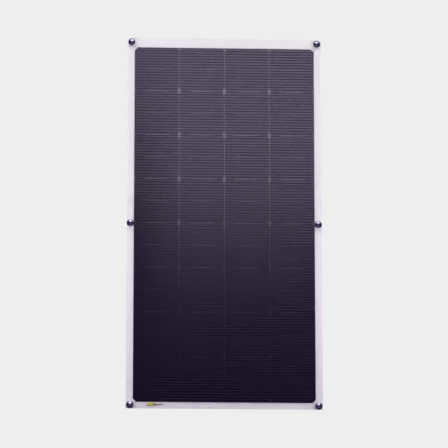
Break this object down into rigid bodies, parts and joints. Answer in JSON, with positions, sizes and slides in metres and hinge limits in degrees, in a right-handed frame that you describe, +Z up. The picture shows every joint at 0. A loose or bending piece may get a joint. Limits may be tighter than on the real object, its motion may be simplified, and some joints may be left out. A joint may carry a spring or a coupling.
{
  "type": "flexible solar sheet",
  "caption": "Thin bendable solar sheet with a white border, half-cut dark cells, domed pull-to-release edge fasteners and a flat rear junction box.",
  "frame": {"origin": "middle of the cell field on the flat rear face", "axes": "+Z up along the sheet's length, -Y out of the cell side, +Y out of the rear face, +X to the right as seen from the front"},
  "size_m": [0.545, 0.0293, 1.059],
  "materials": {
    "clear_film": "clear, lightly matted, ribbed",
    "clear_resin": "clear",
    "white_laminate": "white, satin",
    "grey_carrier": "light grey",
    "dark_mask": "near black",
    "silicon": "dark navy, anti-reflection coated",
    "tinned_copper": "tinned, dull",
    "chrome_plate": "polished",
    "spring_steel": "drawn",
    "steel_washer": "rolled",
    "nickel_plate": "satin nickel",
    "box_plastic": "black, fine grain",
    "box_rubber": "matt",
    "foam_tape": "grey foam tape",
    "steel_screw": "zinc plated",
    "rail_brass": "stamped",
    "diode_plastic": "moulded black",
    "gland_plastic": "black nylon",
    "label_print": "printed, blank"
  },
  "bodies": {
    "top_panel": {"backsheet_top": "white_laminate", "carrier_sheet_top": "grey_carrier", "dark_mask_top": "dark_mask", "encapsulant_top": "clear_resin", "fastener_housings_top": "chrome_plate", "front_film_top": "clear_film", "half_cells_top": "silicon", "interconnects_top": "tinned_copper", "knob_spring_top_left": "spring_steel", "knob_spring_top_right": "spring_steel", "lock_rings_top": "spring_steel", "slotted_nuts_top": "nickel_plate", "washers_top": "steel_washer", "box_adhesive": "foam_tape", "box_base": "box_plastic", "box_gasket": "box_rubber", "box_lid": "box_plastic", "bus_leads": "tinned_copper", "bypass_diodes": "diode_plastic", "cable_gland_left": "gland_plastic", "cable_gland_right": "gland_plastic", "contact_rails": "rail_brass", "gland_nut_left": "gland_plastic", "gland_nut_right": "gland_plastic", "gland_seals": "box_rubber", "lid_screws": "steel_screw"},
    "middle_panel": {"backsheet_middle": "white_laminate", "carrier_sheet_middle": "grey_carrier", "dark_mask_middle": "dark_mask", "encapsulant_middle": "clear_resin", "fastener_housings_middle": "chrome_plate", "front_film_middle": "clear_film", "half_cells_middle": "silicon", "interconnects_middle": "tinned_copper", "knob_spring_middle_left": "spring_steel", "knob_spring_middle_right": "spring_steel", "lock_rings_middle": "spring_steel", "slotted_nuts_middle": "nickel_plate", "washers_middle": "steel_washer"},
    "bottom_panel": {"backsheet_bottom": "white_laminate", "carrier_sheet_bottom": "grey_carrier", "dark_mask_bottom": "dark_mask", "encapsulant_bottom": "clear_resin", "fastener_housings_bottom": "chrome_plate", "front_film_bottom": "clear_film", "half_cells_bottom": "silicon", "interconnects_bottom": "tinned_copper", "knob_spring_bottom_left": "spring_steel", "knob_spring_bottom_right": "spring_steel", "lock_rings_bottom": "spring_steel", "slotted_nuts_bottom": "nickel_plate", "washers_bottom": "steel_washer", "type_label": "label_print"},
    "knob_top_left": {"pull_knob_top_left": "chrome_plate"},
    "knob_top_right": {"pull_knob_top_right": "chrome_plate"},
    "knob_middle_left": {"pull_knob_middle_left": "chrome_plate"},
    "knob_middle_right": {"pull_knob_middle_right": "chrome_plate"},
    "knob_bottom_left": {"pull_knob_bottom_left": "chrome_plate"},
    "knob_bottom_right": {"pull_knob_bottom_right": "chrome_plate"}
  },
  "joints": [
    {"name": "bend_top", "type": "hinge", "parent": "middle_panel", "child": "top_panel", "pos_m": [0, -0.00105, 0.2532], "axis": [1, 0, 0], "range_deg": [-15, 15], "stiffness_Nm_per_rad": 12},
    {"name": "bend_bottom", "type": "hinge", "parent": "middle_panel", "child": "bottom_panel", "pos_m": [0, -0.00105, -0.2532], "axis": [-1, 0, 0], "range_deg": [-15, 15], "stiffness_Nm_per_rad": 12},
    {"name": "pull_top_left", "type": "slide", "parent": "top_panel", "child": "knob_top_left", "axis": [0, -1, 0], "range_m": [0, 0.002], "stiffness_N_per_m": 2500, "springref_m": -0.002, "deforming": ["knob_spring_top_left"]},
    {"name": "pull_top_right", "type": "slide", "parent": "top_panel", "child": "knob_top_right", "axis": [0, -1, 0], "range_m": [0, 0.002], "stiffness_N_per_m": 2500, "springref_m": -0.002, "deforming": ["knob_spring_top_right"]},
    {"name": "pull_middle_left", "type": "slide", "parent": "middle_panel", "child": "knob_middle_left", "axis": [0, -1, 0], "range_m": [0, 0.002], "stiffness_N_per_m": 2500, "springref_m": -0.002, "deforming": ["knob_spring_middle_left"]},
    {"name": "pull_middle_right", "type": "slide", "parent": "middle_panel", "child": "knob_middle_right", "axis": [0, -1, 0], "range_m": [0, 0.002], "stiffness_N_per_m": 2500, "springref_m": -0.002, "deforming": ["knob_spring_middle_right"]},
    {"name": "pull_bottom_left", "type": "slide", "parent": "bottom_panel", "child": "knob_bottom_left", "axis": [0, -1, 0], "range_m": [0, 0.002], "stiffness_N_per_m": 2500, "springref_m": -0.002, "deforming": ["knob_spring_bottom_left"]},
    {"name": "pull_bottom_right", "type": "slide", "parent": "bottom_panel", "child": "knob_bottom_right", "axis": [0, -1, 0], "range_m": [0, 0.002], "stiffness_N_per_m": 2500, "springref_m": -0.002, "deforming": ["knob_spring_bottom_right"]}
  ]
}
